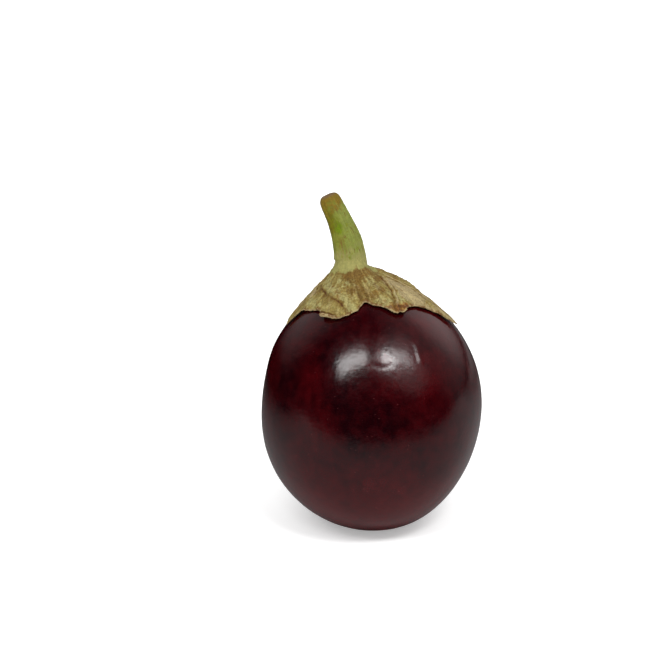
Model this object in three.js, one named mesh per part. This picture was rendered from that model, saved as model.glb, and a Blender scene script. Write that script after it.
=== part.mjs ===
// A round eggplant, as picked: the fruit, and its leafy cap with the stem.
// Millimetres, +Z up, +X to the right of the front view and -Y towards it.
// The origin is in the middle of the flat spot that the fruit rests on.

import * as THREE from 'three';

const DEGREE = Math.PI / 180;
const TURN = 2 * Math.PI;

// The fruit about its own axis, measured from its widest level
const FRUIT_RADIUS = 48;
const TOP_HEIGHT = 59;
const BASE_DEPTH = 52.8;

// How far the shoulders and the base draw in from an ellipse
const TOP_PINCH = 0.068;
const BASE_PINCH = 0.018;

// The right shoulder and the left haunch are fuller than the opposite flanks
const FLANK_FULLNESS = 0.076;

// The two poles stand off the axis
const TOP_OFFSET_X = -3.6;
const TOP_OFFSET_Y = 2;
const BASE_OFFSET_X = 1.3;

// Soft lengthwise swells of the flesh
const SWELL_COUNT = 5;
const SWELL_HEIGHT = 0.35;
const SWELL_TURN = 20 * DEGREE;

// Broad hollows and bulges: azimuth from the front, polar angle, height and half width in degrees
const UNEVENNESS = [
  [-92, 30, -1.3, 15], [-90, 58, 0.8, 12], [150, 70, 0.7, 25], [-140, 105, -0.6, 25],
];

// The whole fruit leans a little to the left and away from the front
const LEAN_LEFT = 5 * DEGREE;
const LEAN_BACK = 4 * DEGREE;

// The weight presses a small flat spot at the bottom
const FLAT_DEPTH = 1.9;
const FLAT_CENTRE_X = 1.6;
const FLAT_CENTRE_Y = -0.6;

// The leafy cap: azimuth (0 to the front, 90 to the right) and reach down from the axis, in degrees.
// Six lobes, the right one longest; the two at the back close the ring.
const CAP_OUTLINE = [
  [-180, 31], [-168, 37], [-157, 45], [-152, 46], [-145, 42], [-132, 34], [-118, 31], [-105, 34],
  [-92, 37.5], [-83, 39.5], [-76, 38.6], [-67, 35.8], [-57, 33.2], [-45, 32], [-35, 32.3], [-30.5, 35.5],
  [-25, 36.4], [-16, 35.6], [-7, 34], [1, 32.2], [7, 29.2], [13, 26.6], [20, 29.5], [28, 32.8],
  [35, 36.7], [40, 38.1], [46, 37.1], [51.5, 35.2], [58, 36.3], [66, 40.2], [73, 45.6], [79, 50.4],
  [84, 53.8], [88, 52.4], [94, 43.5], [102, 35.5], [112, 31.5], [124, 35], [134, 41], [141, 44],
  [149, 41], [160, 34], [170, 30.5],
];

// The cap's blade
const CAP_GAP = 0.4;
const RIM_THICKNESS = 0.9;
const BLADE_SWELL = 0.9;

// The crown swells up to the stem from the polar angle CROWN_START: height and fall-off in degrees,
// once for the broad swell and once for the fillet at the stem's foot
const CROWN_START = 7.6;
const CROWN_SWELLS = [[5.2, 6.5], [1.6, 1.6]];

// Raised ribs, most of them to a lobe's tip: azimuth, height, and half width in degrees where the
// cap is RIB_POLAR degrees down
const RIBS = [
  [-152, 0.7, 9], [-84, 0.7, 9], [-24, 0.6, 8], [36, 0.8, 7], [72, 0.6, 8], [112, 0.8, 9],
  [141, 0.7, 9],
];
const RIB_POLAR = 25;
const RIB_FADE = 0.6;

// Where the blade's tips stand off the fruit: azimuth, height at the rim and half width in degrees
const LIFTED_TIPS = [
  [-150, 1.6, 13], [-80, 0.5, 12], [-27, 1.3, 7], [42, 1.1, 9], [80, 1.9, 9], [141, 1.5, 13],
];
const LIFT_POWER = 5;

// Shallow waves along the rim
const WAVE_COUNT = 13;
const WAVE_HEIGHT = 0.5;
const WAVE_POWER = 3;

// The stem's middle line, seen along the fruit's own axis, from the cap to the cut end
const STEM_LINE = [
  [-3.5, 2.0, 64], [-3.2, 2.0, 71], [-4.0, 2.2, 77.5], [-6.0, 2.6, 84.5], [-8.3, 3.1, 91],
  [-9.9, 3.5, 96.4],
];

// Share of that line, and the stem's radius there
const STEM_RADII = [
  [1, 0], [0.995, 1.8], [0.98, 3.1], [0.955, 3.95], [0.92, 4.45], [0.87, 4.7], [0.78, 4.85],
  [0.66, 5.15], [0.54, 5.55], [0.42, 6.05], [0.32, 6.4], [0.22, 6.65], [0.14, 6.95],
];
const STEM_RIB_COUNT = 5;
const STEM_RIB_HEIGHT = 0.025;

// Facets
const FRUIT_SEGMENTS = 60;
const FRUIT_RINGS = 32;
const CAP_SEGMENTS = 96;
const CAP_TOP_RINGS = 11;
const CAP_UNDER_RINGS = 7;
const CROWN_EASE = 1.35;

const FRUIT_MATERIAL = new THREE.MeshStandardMaterial({ color: '#2a0709', roughness: 0.22, metalness: 0 });
const CAP_MATERIAL = new THREE.MeshStandardMaterial({ color: '#8c8747', roughness: 0.75, metalness: 0 });

// Turns a point of the upright fruit into its leaning place, with the flat spot's middle at the origin
const lean = new THREE.Matrix4().makeRotationX(-LEAN_BACK)
  .multiply(new THREE.Matrix4().makeRotationY(-LEAN_LEFT));

function stand(point) {
  return point.applyMatrix4(lean).sub(restPoint);
}

// The signed difference of two azimuths in degrees
function between(one, other) {
  return ((one - other + 900) % 360) - 180;
}

// An azimuth from +X in radians, told in degrees from the front
function fromFront(azimuth) {
  return between(azimuth / DEGREE + 90, 0);
}

// The sum of the broad hollows and bulges at a polar angle and an azimuth from the front
function unevenness(polar, front) {
  let sum = 0;
  for (const [at, down, height, halfWidth] of UNEVENNESS) {
    const across = between(front, at) * Math.sin(polar * DEGREE);
    sum += height * Math.exp(-(across ** 2 + (polar - down) ** 2) / halfWidth ** 2);
  }
  return sum;
}

// A point at a polar angle down from the fruit's axis and an azimuth from +X, raised off the skin
function besideFruit(polar, azimuth, raised) {
  const cosPolar = Math.cos(polar);
  const sinPolar = Math.sin(polar);
  const above = Math.max(cosPolar, 0) ** 2;
  const below = Math.max(-cosPolar, 0) ** 2;
  const pinch = 1 - TOP_PINCH * above - BASE_PINCH * below;
  const flank = 1 + FLANK_FULLNESS * Math.cos(azimuth) * cosPolar;
  const swell = SWELL_HEIGHT * sinPolar ** 2 * Math.cos(SWELL_COUNT * (azimuth - SWELL_TURN));
  const off = raised + unevenness(polar / DEGREE, fromFront(azimuth));
  const radius = FRUIT_RADIUS * sinPolar * pinch * flank + swell + off * sinPolar;
  const height = ((cosPolar > 0 ? TOP_HEIGHT : BASE_DEPTH) + off) * cosPolar;
  return new THREE.Vector3(
    radius * Math.cos(azimuth) + TOP_OFFSET_X * above + BASE_OFFSET_X * below,
    radius * Math.sin(azimuth) + TOP_OFFSET_Y * above,
    height,
  );
}

// The lowest point of the leaning fruit, found on a fine net of its lower half
function lowestHeight() {
  let lowest = Infinity;
  for (let polar = 150 * DEGREE; polar <= Math.PI; polar += 0.5 * DEGREE) {
    for (let azimuth = 0; azimuth < TURN; azimuth += 5 * DEGREE) {
      lowest = Math.min(lowest, besideFruit(polar, azimuth, 0).applyMatrix4(lean).z);
    }
  }
  return lowest;
}

const restPoint = new THREE.Vector3(FLAT_CENTRE_X, FLAT_CENTRE_Y, lowestHeight() + FLAT_DEPTH);

// A closed skin: rings of points from one pole to the other, each placed by a formula
function skin(segments, rings, pointAt) {
  const geometry = new THREE.SphereGeometry(1, segments, rings);
  const position = geometry.getAttribute('position');
  for (let ring = 0; ring <= rings; ring++) {
    for (let step = 0; step <= segments; step++) {
      const point = pointAt(ring, (step % segments) / segments * TURN);
      position.setXYZ(ring * (segments + 1) + step, point.x, point.y, point.z);
    }
  }
  geometry.computeVertexNormals();
  return geometry;
}

function fruitPoint(ring, azimuth) {
  const point = stand(besideFruit(Math.PI * ring / FRUIT_RINGS, azimuth, 0));
  point.z = Math.max(point.z, 0);
  return point;
}

// The outline with two more points past each end, so that its curve closes smoothly
const closedOutline = [
  ...CAP_OUTLINE.slice(-2).map(([at, reach]) => [at - 360, reach]),
  ...CAP_OUTLINE,
  ...CAP_OUTLINE.slice(0, 2).map(([at, reach]) => [at + 360, reach]),
];

// How far down the cap reaches at an azimuth, on a smooth curve through the outline's points
function capReach(front) {
  const end = closedOutline.findIndex(([at], index) => index > 1 && at > front);
  const [before, from, to, after] = closedOutline.slice(end - 2, end + 2);
  const span = to[0] - from[0];
  const share = (front - from[0]) / span;
  const leaving = (to[1] - before[1]) / (to[0] - before[0]) * span;
  const arriving = (after[1] - from[1]) / (after[0] - from[0]) * span;
  const square = share ** 2;
  const cube = share ** 3;
  return (2 * cube - 3 * square + 1) * from[1] + (3 * square - 2 * cube) * to[1]
    + (cube - 2 * square + share) * leaving + (cube - square) * arriving;
}

// The sum of soft bumps, one to each row of azimuth, height and half width
function bumps(rows, front, widen = 1) {
  let sum = 0;
  for (const [at, height, halfWidth] of rows) {
    sum += height * Math.exp(-((between(front, at) / (halfWidth * widen)) ** 2));
  }
  return sum;
}

// How high the blade's underside stands off the fruit, at a share of the way out to the rim
function capLift(front, share) {
  const wave = WAVE_HEIGHT * (0.5 + 0.5 * Math.cos(WAVE_COUNT * front * DEGREE));
  return CAP_GAP + bumps(LIFTED_TIPS, front) * share ** LIFT_POWER + wave * share ** WAVE_POWER;
}

// The cap's upper face: from the crown round the stem out to the rim
function capTop(azimuth, spread) {
  const front = fromFront(azimuth);
  const reach = capReach(front);
  const polar = CROWN_START + (reach - CROWN_START) * spread ** CROWN_EASE;
  const share = polar / reach;
  const blade = RIM_THICKNESS + BLADE_SWELL * (1 - share ** 2);
  const rib = bumps(RIBS, front, RIB_POLAR / polar) * (1 - RIB_FADE * share);
  let crown = 0;
  for (const [height, fallOff] of CROWN_SWELLS) crown += height * Math.exp((CROWN_START - polar) / fallOff);
  return besideFruit(polar * DEGREE, azimuth, capLift(front, share) + blade + rib + crown);
}

// The cap's underside, at a share of the way out to the rim
function capUnder(azimuth, share) {
  const front = fromFront(azimuth);
  return besideFruit(capReach(front) * share * DEGREE, azimuth, capLift(front, share));
}

const stemLine = new THREE.CatmullRomCurve3(STEM_LINE.map((point) => new THREE.Vector3(...point)));

// A point of the stem's skin: a softly ribbed ring square to its middle line
function stemSide([share, radius], azimuth) {
  const along = stemLine.getTangentAt(share);
  const side = new THREE.Vector3(1, 0, 0).projectOnPlane(along).normalize();
  const deep = new THREE.Vector3().crossVectors(along, side);
  const ribbed = radius * (1 + STEM_RIB_HEIGHT * Math.cos(STEM_RIB_COUNT * azimuth));
  return stemLine.getPointAt(share)
    .addScaledVector(side, ribbed * Math.cos(azimuth))
    .addScaledVector(deep, ribbed * Math.sin(azimuth));
}

const CAP_RINGS = STEM_RADII.length + CAP_TOP_RINGS + CAP_UNDER_RINGS;

// One skin for the stem and the cap: from the cut end down, out to the rim and back underneath
function capPoint(ring, azimuth) {
  const topRing = ring - STEM_RADII.length;
  const underRing = topRing - CAP_TOP_RINGS;
  if (topRing < 0) return stand(stemSide(STEM_RADII[ring], azimuth));
  if (underRing < 0) return stand(capTop(azimuth, topRing / (CAP_TOP_RINGS - 1)));
  return stand(capUnder(azimuth, 1 - underRing / CAP_UNDER_RINGS));
}

const fruit = new THREE.Mesh(skin(FRUIT_SEGMENTS, FRUIT_RINGS, fruitPoint), FRUIT_MATERIAL);
fruit.name = 'fruit';

const cap = new THREE.Mesh(skin(CAP_SEGMENTS, CAP_RINGS, capPoint), CAP_MATERIAL);
cap.name = 'calyx_and_stem';

const eggplant = new THREE.Group();
eggplant.add(fruit, cap);

export default eggplant;
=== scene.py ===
"""Looks of a round eggplant: a glossy dark fruit under a dried, leafy cap with a short green stem."""

import math

import bpy
import numpy as np
from mathutils import Matrix, Quaternion, Vector


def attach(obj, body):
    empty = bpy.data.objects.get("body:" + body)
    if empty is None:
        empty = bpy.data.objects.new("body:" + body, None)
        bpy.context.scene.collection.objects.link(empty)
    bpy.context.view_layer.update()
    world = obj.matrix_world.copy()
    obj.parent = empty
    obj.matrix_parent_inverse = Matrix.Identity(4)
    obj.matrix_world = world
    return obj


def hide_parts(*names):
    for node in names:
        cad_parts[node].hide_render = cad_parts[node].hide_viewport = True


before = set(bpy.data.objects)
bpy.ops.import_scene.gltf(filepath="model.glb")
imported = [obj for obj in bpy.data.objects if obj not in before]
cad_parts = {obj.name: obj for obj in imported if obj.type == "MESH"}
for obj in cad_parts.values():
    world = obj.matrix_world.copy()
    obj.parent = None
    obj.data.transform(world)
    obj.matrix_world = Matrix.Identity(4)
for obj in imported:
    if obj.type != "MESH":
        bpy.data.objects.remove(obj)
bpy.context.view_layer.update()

# The form's lengths are in millimetres and its angles in degrees. A polar angle is told down from the
# fruit's own axis, and an azimuth from the front, with 90 to the right.
MM = 0.001

FRUIT_RADIUS = 48
TOP_HEIGHT = 59
BASE_DEPTH = 52.8
TOP_PINCH = 0.068
BASE_PINCH = 0.018
FLANK_FULLNESS = 0.076
TOP_OFFSET_X = -3.6
TOP_OFFSET_Y = 2
BASE_OFFSET_X = 1.3
SWELL_COUNT = 5
SWELL_HEIGHT = 0.35
SWELL_FRONT = 110
LEAN_LEFT = 5
LEAN_BACK = 4
FLAT_DEPTH = 1.9
FLAT_CENTRE_X = 1.6
FLAT_CENTRE_Y = -0.6
FLAT_SOFTNESS = 0.25

# Broad hollows and bulges: azimuth, polar angle, height and half width
UNEVENNESS = [(-92, 30, -1.3, 15), (-90, 58, 0.8, 12), (150, 70, 0.7, 25), (-140, 105, -0.6, 25)]

DIMPLE_HEIGHT = 0.035
PORE_HEIGHT = 0.012
# Marks in the skin: a line of azimuths and polar angles, its height (below 0 a dent) and half width
SKIN_MARKS = [
    ([(6.5, 57.2), (9, 58.2), (12.5, 58.8), (17, 57.9)], -0.075, 0.85),
    ([(9.5, 61), (12, 62.4)], -0.03, 0.7),
    ([(14, 60.6), (17, 62.4)], -0.025, 0.8),
    ([(37.2, 51.4), (36.2, 55), (35, 59)], 0.24, 1.2),
    ([(34.4, 52), (33.2, 59)], -0.06, 0.8),
    ([(-101, 63), (-97, 66), (-95, 70)], -0.08, 0.7),
    ([(160, 48), (163, 55), (161, 61)], -0.07, 0.9),
]

# How much of the skin's red shows through: its usual share, and the places with more or less of it, by
# azimuth, polar angle, half width in millimetres and amount
USUAL_RED = 0.34
RED_PLACES = [
    (-52, 70, 13, -0.34), (-10, 77, 13, -0.26), (10, 78, 10, -0.22), (-24, 49, 7, -0.22),
    (-8, 38, 8, -0.1), (-31, 64, 7, 0.3), (14, 64, 9, 0.25), (30, 62, 9, 0.3), (42, 74, 9, 0.15),
    (70, 51, 12, 0.5), (54, 42, 7, 0.45), (84, 80, 14, 0.3), (-20, 86, 8, 0.15), (130, 60, 20, 0.3),
    (-150, 75, 25, -0.2), (170, 85, 16, 0.25), (-100, 80, 14, 0.15),
]
BASE_RED = 0.6
BASE_RED_START = 95
BASE_RED_END = 140

# The cap's outline: azimuth and reach
CAP_OUTLINE = [
    (-180, 31), (-168, 37), (-157, 45), (-152, 46), (-145, 42), (-132, 34), (-118, 31), (-106, 33),
    (-97, 35), (-91, 38.5), (-86, 43), (-82.5, 44.6), (-79, 41), (-74, 37), (-67, 34.2), (-57, 32.8),
    (-45, 32), (-36, 32.3), (-32, 35), (-27, 35.9), (-18, 35.2), (-8, 33.6), (1, 31.3), (7, 28.4),
    (13, 26.6), (20, 29), (28, 31.7), (34, 35.6), (40, 37), (46, 36), (51.5, 34.6), (58, 35.4),
    (66, 37.8), (73, 41.6), (79, 46.6), (83.5, 51.4), (87, 53.4), (90, 50), (93, 43), (97, 36),
    (104, 32.5), (112, 31.5), (124, 35), (134, 41), (141, 44), (149, 41), (160, 34), (170, 30.5),
]
CAP_GAP = 0.4
RIM_THICKNESS = 0.34
RIM_ROUNDING = 0.3
LEAST_THICKNESS = 0.25
BLADE_SWELL = 1.4
BLADE_POWER = 3
CROWN_START = 7.6
CROWN_SWELLS = [(5.2, 6.5), (1.6, 1.6)]
CROWN_DIP = [(114, 4.6, 42)]
CROWN_DIP_FALL = 3.6

# Azimuth, height and half width of the lobes' ribs and of their tips, which stand off the fruit
RIBS = [
    (-152, 0.7, 9), (-89, -0.25, 10), (-24, 0.6, 8), (36, 0.8, 7), (66, 0.4, 8), (88, -1.5, 16),
    (110, 1.1, 8), (141, 0.7, 9),
]
RIB_POLAR = 25
RIB_FADE = 0.6
LIFTED_TIPS = [(-150, 1.6, 13), (-80, 0.1, 12), (-27, 1.3, 7), (42, 1.1, 9), (86, 0.7, 5), (141, 1.5, 13)]
LIFT_POWER = 5
WAVE_COUNT = 12
WAVE_TURN = 72
WAVE_HEIGHT = 0.5
WAVE_POWER = 3
WRINKLE_HEIGHT = 0.35

# The dried blade's surface: crumple, pleats, creping, long grain and veins
CRUMPLE_HEIGHT = 0.26
PLEAT_HEIGHT = 0.2
PLEAT_SIZE = 2.6
CREPE_HEIGHT = 0.12
GRAIN_HEIGHT = 0.13
VEIN_HEIGHT = 0.1
VEIN_HALF_WIDTH = 0.07
VEIN_START = 13
VEIN_FULL = 20
CRUMPLE_EASE = 5

# The swollen shoulder round the stem's foot ends at this polar angle, by azimuth
SHOULDER_EDGE = [
    (-180, 11), (-130, 11.6), (-87, 12), (-52, 10.6), (-22, 10.6), (2, 10.2), (14, 9.4), (25, 9.1),
    (50, 9.3), (76, 10.6), (92, 12.4), (135, 11.2),
]
SHOULDER_STEP = 0.35
SHOULDER_EDGE_HALF = 0.4
SHOULDER_SHADE = 0.55

# The rim's small tears and bites, and where a dried tip is badly torn: azimuth, depth and half width
RIM_RING = 26
TEAR_DEPTH = 0.45
BITE_DEPTH = 1.6
BITE_START = 0.25
TORN_TIPS = [(38, 1.6, 8), (84, 0.7, 5), (141, 1, 7), (-152, 1, 7)]

# Folds: a line of azimuths and polar angles from the stem outwards, and the step's height on its left
FOLDS = [
    ([(-87, 17.5), (-62, 19.8), (-39, 22.8), (-26, 25.4), (-17, 26.8), (-12, 28.8), (-9, 31), (-9.4, 34)],
     0.6),
    ([(-165, 12), (-160, 20), (-163, 29), (-160, 38)], 0.4),
    ([(118, 12), (124, 20), (130, 28), (133, 36)], 0.4),
]
FOLD_FALL = 4.5
FOLD_EDGE = 0.3
LINE_WANDER = 0.3
# The shade along a fold: strength, middle and half width
FOLD_SHADES = [(0.5, 0.6, 1.3), (0.5, 0.3, 0.4)]

# Sharp midribs: a line and the height of the crest beside its groove
MIDRIBS = [
    ([(75, 12.6), (63.5, 15), (54.8, 20.5), (49.2, 24.9), (42.4, 29.8), (36.3, 33.5), (35, 37)], 0.6),
    ([(-100, 13), (-94, 22), (-87, 30), (-83, 41)], 0.2),
    ([(92, 14), (90, 26), (86, 38), (86, 51)], 0.2),
    ([(146, 13), (143, 24), (142, 34), (141, 43)], 0.45),
    ([(-148, 13), (-150, 24), (-153, 35), (-152, 45)], 0.45),
]
CREST_BESIDE = 1.0
CREST_HALF_WIDTH = 0.55
GROOVE_DEPTH = 0.35
GROOVE_HALF_WIDTH = 0.4
GROOVE_SHADE = 1.1
CREST_SHADE = 0.6
HALO_SHADE = 0.45
HALO_HALF_WIDTH = 1.2

# The curled tip of the front left lobe: how far it is turned to the left, and the groove behind its lip
CURL_TURN = [(-31, -3, 4.5)]
CURL_START = 0.88
CURL_LINE = [(-36, 32.6), (-31, 33.5), (-27, 34), (-22, 34.1), (-15, 33.4)]
CURL_GROOVE = 0.6
CURL_GROOVE_HALF_WIDTH = 0.5
CURL_GROOVE_SHADE = 1.4
CURL_LIP = 0.35
CURL_LIP_RISE = 0.7
CURL_LIP_FALL = (2.2, 3.5)

STEM_LINE = [
    (-4.0, 2.0, 64), (-4.0, 2.0, 71), (-4.9, 2.2, 77.5), (-6.9, 2.6, 84.5), (-9.3, 3.1, 91),
    (-11.1, 3.5, 96.4),
]
STEM_RADII = [
    (1, 0), (0.995, 1.8), (0.98, 3.1), (0.955, 3.95), (0.92, 4.45), (0.87, 4.7), (0.78, 4.85),
    (0.66, 5.15), (0.54, 5.55), (0.42, 6.05), (0.32, 6.4), (0.22, 6.65), (0.14, 6.95),
]
STEM_RIB_COUNT = 5
STEM_RIB_HEIGHT = 0.025
STEM_LUMP_HEIGHT = 0.13
STEM_GRAIN_HEIGHT = 0.07
SPECK_HEIGHT = 0.09
SPECK_SIZE = 1.1
SPECK_STRETCH = (0.6, 0.6, 4)
CUT_RADIUS = 3.2
CUT_DEPTH = 0.5
CUT_START = 0.95

# Mesh fineness
FRUIT_SEGMENTS = 320
FRUIT_RINGS = 250
CAP_SEGMENTS = 480
STEM_RINGS = 64
STEM_EASE = 1.8
BLADE_RINGS = 112
RIM_RINGS = 4
UNDER_RINGS = 24
CROWN_EASE = 1.12
MM_PER_DEGREE = FRUIT_RADIUS * math.pi / 180
FIBRE_RING = 20
FIBRE_STRETCH = 0.16
STEM_GRAIN_LENGTH = 1.3

# The view: the middle of the fruit's widest level stands at this pixel of the 660 x 660 picture
PICTURE_SIDE = 660
FRUIT_PIXEL_X = 371.6
FRUIT_PIXEL_Y = 410.3
PIXELS_PER_MM = 2.3
VIEW_ELEVATION = 22
VIEW_DISTANCE = 900
SENSOR_WIDTH = 36


def srgb(red, green, blue):
    """A picture colour of 0 to 255 a channel as linear light."""
    shown = np.array((red, green, blue)) / 255
    return tuple(np.where(shown <= 0.04045, shown / 12.92, ((shown + 0.055) / 1.055) ** 2.4))


def between(one, other):
    """The signed difference of two azimuths in degrees."""
    return (one - other + 900) % 360 - 180


def smooth(low, high, value):
    """0 below low, 1 above high and a soft step between them."""
    share = np.clip((value - low) / (high - low), 0, 1)
    return share * share * (3 - 2 * share)


def hump(value, middle, half_width):
    """1 at the middle, fading off both ways."""
    return np.exp(-((value - middle) / half_width) ** 2)


# Large numbers that scatter the corners of the noise's lattice
CORNER_SCATTER = (73856093, 19349663, 83492791)
SEED_SCATTER = 2654435
TURN_SCATTER = (1103515245, 12345)
HEIGHT_SCATTER = (69069, 907633385)
NOISE_GAIN = 1.6


def lattice_noise(points, seed):
    """Soft noise between about -1 and 1 on a lattice of one unit, the same for the same seed."""
    cell = np.floor(points).astype(np.int64)
    part = points - cell
    fade = part ** 3 * (part * (part * 6 - 15) + 10)
    total = np.zeros(points.shape[:-1])
    for corner in range(8):
        step = np.array([corner & 1, corner >> 1 & 1, corner >> 2 & 1])
        at = cell + step
        across, deep, high = (at[..., axis] * CORNER_SCATTER[axis] for axis in range(3))
        key = across ^ deep ^ high ^ seed * SEED_SCATTER
        angle = (key * TURN_SCATTER[0] + TURN_SCATTER[1] >> 8 & 0xFFFF) / 65536 * 2 * np.pi
        height = (key * HEIGHT_SCATTER[0] + HEIGHT_SCATTER[1] >> 7 & 0xFFFF) / 32768 - 1
        flat = np.sqrt(np.clip(1 - height ** 2, 0, 1))
        away = part - step
        slope = (away[..., 0] * flat * np.cos(angle) + away[..., 1] * flat * np.sin(angle)
                 + away[..., 2] * height)
        weight = np.prod(np.where(step, fade, 1 - fade), axis=-1)
        total += weight * slope
    return total * NOISE_GAIN


def noise(points, size, seed, octaves=3):
    """Layered noise with its largest grains of the given size."""
    total = 0
    for octave in range(octaves):
        total = total + lattice_noise(points / size * 2 ** octave, seed + octave) / 2 ** octave
    return total


def flat_map(front, polar):
    """Places laid out flat round the stem in millimetres, with the front towards -Y."""
    turned = np.radians(front)
    return np.stack([polar * np.sin(turned), -polar * np.cos(turned)], axis=-1) * MM_PER_DEGREE


def along_line(front, polar, line):
    """Distance to a line of azimuths and polar angles, above 0 on its right, and the share along it."""
    places = flat_map(front, polar)
    bends = [flat_map(*point) for point in np.array(line, float)]
    best = np.full(np.shape(front), np.inf)
    signed = np.zeros_like(best)
    share = np.zeros_like(best)
    for index, (start, end) in enumerate(zip(bends, bends[1:])):
        run = end - start
        off = places - start
        at = np.clip(off @ run / (run @ run), 0, 1)
        gap = off - at[..., None] * run
        distance = np.hypot(gap[..., 0], gap[..., 1])
        near = distance < best
        left = run[0] * off[..., 1] - run[1] * off[..., 0] > 0
        best = np.where(near, distance, best)
        signed = np.where(near, np.where(left, -distance, distance), signed)
        share = np.where(near, (index + at) / (len(bends) - 1), share)
    return signed, share


def eased(share, start, end, leaving, arriving):
    """A smooth curve from start to end, which leaves and arrives with the given rises."""
    square = share ** 2
    cube = share ** 3
    return ((2 * cube - 3 * square + 1) * start + (3 * square - 2 * cube) * end
            + (cube - 2 * square + share) * leaving + (cube - square) * arriving)


def round_curve(rows, front):
    """A value by azimuth, on a smooth closed curve through the rows."""
    at = np.array([row[0] for row in rows])
    value = np.array([row[1] for row in rows])
    at = np.concatenate([at[-2:] - 360, at, at[:2] + 360])
    value = np.concatenate([value[-2:], value, value[:2]])
    end = np.searchsorted(at, front, side="right")
    start = end - 1
    span = at[end] - at[start]
    leaving = (value[end] - value[start - 1]) / (at[end] - at[start - 1]) * span
    arriving = (value[end + 1] - value[start]) / (at[end + 1] - at[start]) * span
    return eased((front - at[start]) / span, value[start], value[end], leaving, arriving)


def fibre_places(front, along, ring=FIBRE_RING):
    """Places for noise in long grains: round a ring, and squeezed along the fibres."""
    turned = np.radians(front)
    parts = np.broadcast_arrays(ring * np.sin(turned), ring * np.cos(turned), along * FIBRE_STRETCH)
    return np.stack(parts, axis=-1)


def bumps(rows, front, widen=1):
    """A height by azimuth, from rows of azimuth, height and half width."""
    total = 0
    for at, height, half_width in rows:
        total = total + height * hump(between(front, at), 0, half_width * widen)
    return total


def patches(rows, front, polar):
    """Soft round patches: azimuth, polar angle and half width in millimetres."""
    places = flat_map(front, polar)
    total = 0
    for at, down, half_width in rows:
        gap = places - flat_map(at, down)
        total = total + np.exp(-(gap ** 2).sum(axis=-1) / half_width ** 2)
    return np.clip(total, 0, 1)


def unevenness(polar, front):
    """The fruit's broad hollows and bulges."""
    total = 0
    for at, down, height, half_width in UNEVENNESS:
        across = between(front, at) * np.sin(np.radians(polar))
        total = total + height * np.exp(-(across ** 2 + (polar - down) ** 2) / half_width ** 2)
    return total


def beside_fruit(polar, front, raised=0):
    """Points over the upright fruit, raised off its skin."""
    cos_polar = np.cos(np.radians(polar))
    sin_polar = np.sin(np.radians(polar))
    above = np.clip(cos_polar, 0, None) ** 2
    below = np.clip(-cos_polar, 0, None) ** 2
    pinch = 1 - TOP_PINCH * above - BASE_PINCH * below
    to_right = np.sin(np.radians(front))
    to_back = -np.cos(np.radians(front))
    flank = 1 + FLANK_FULLNESS * to_right * cos_polar
    swell = SWELL_HEIGHT * sin_polar ** 2 * np.cos(np.radians(SWELL_COUNT * (front - SWELL_FRONT)))
    off = raised + unevenness(polar, front)
    radius = FRUIT_RADIUS * sin_polar * pinch * flank + swell + off * sin_polar
    height = (np.where(cos_polar > 0, TOP_HEIGHT, BASE_DEPTH) + off) * cos_polar
    return np.stack([radius * to_right + TOP_OFFSET_X * above + BASE_OFFSET_X * below,
                     radius * to_back + TOP_OFFSET_Y * above, height], axis=-1)


LEAN = np.array(Matrix.Rotation(math.radians(-LEAN_BACK), 3, "X")
                @ Matrix.Rotation(math.radians(-LEAN_LEFT), 3, "Y"))


def rest_point():
    """The middle of the flat spot, a little above the leaning fruit's lowest point."""
    polar, front = np.meshgrid(np.arange(150, 180.1, 0.5), np.arange(0, 360, 5), indexing="ij")
    lowest = (beside_fruit(polar, front) @ LEAN.T)[..., 2].min()
    return np.array([FLAT_CENTRE_X, FLAT_CENTRE_Y, lowest + FLAT_DEPTH])


REST_POINT = rest_point()


def stand(points):
    """Leans upright points and puts the flat spot's middle at the origin."""
    return points @ LEAN.T - REST_POINT


def placed(name, data):
    """A new object in the scene."""
    piece = bpy.data.objects.new(name, data)
    bpy.context.scene.collection.objects.link(piece)
    return piece


def ring_mesh(name, rings, tints):
    """A closed mesh: rings of points from one pole to the other, with the poles as its first and last."""
    count = rings.shape[1]
    points = np.vstack([rings[0, :1], rings[1:-1].reshape(-1, 3), rings[-1, :1]]) * MM
    rows = len(rings) - 2
    step = np.arange(count)
    after = (step + 1) % count
    faces = [np.stack([np.zeros_like(step), 1 + step, 1 + after], axis=1)]
    for row in range(rows - 1):
        top = 1 + row * count
        low = top + count
        faces.append(np.stack([top + step, low + step, low + after, top + after], axis=1))
    last = 1 + (rows - 1) * count
    faces.append(np.stack([last + step, np.full_like(step, len(points) - 1), last + after], axis=1))
    sizes = np.concatenate([np.full(len(part), part.shape[1]) for part in faces])
    corners = np.concatenate([part.ravel() for part in faces])
    mesh = bpy.data.meshes.new(name)
    mesh.vertices.add(len(points))
    mesh.vertices.foreach_set("co", points.astype(np.float32).ravel())
    mesh.loops.add(len(corners))
    mesh.loops.foreach_set("vertex_index", corners.astype(np.int32))
    mesh.polygons.add(len(sizes))
    starts = np.concatenate([[0], np.cumsum(sizes)[:-1]])
    mesh.polygons.foreach_set("loop_start", starts.astype(np.int32))
    mesh.polygons.foreach_set("loop_total", sizes.astype(np.int32))
    for key, values in tints.items():
        flat = np.concatenate([values[0, :1], values[1:-1].reshape(-1, *values.shape[2:]), values[-1, :1]])
        kind, field = ("FLOAT", "value") if flat.ndim == 1 else ("FLOAT_VECTOR", "vector")
        mesh.attributes.new(key, kind, "POINT").data.foreach_set(field, flat.astype(np.float32).ravel())
    mesh.update(calc_edges=True)
    mesh.validate()
    mesh.shade_smooth()
    return placed(name, mesh)


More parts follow.
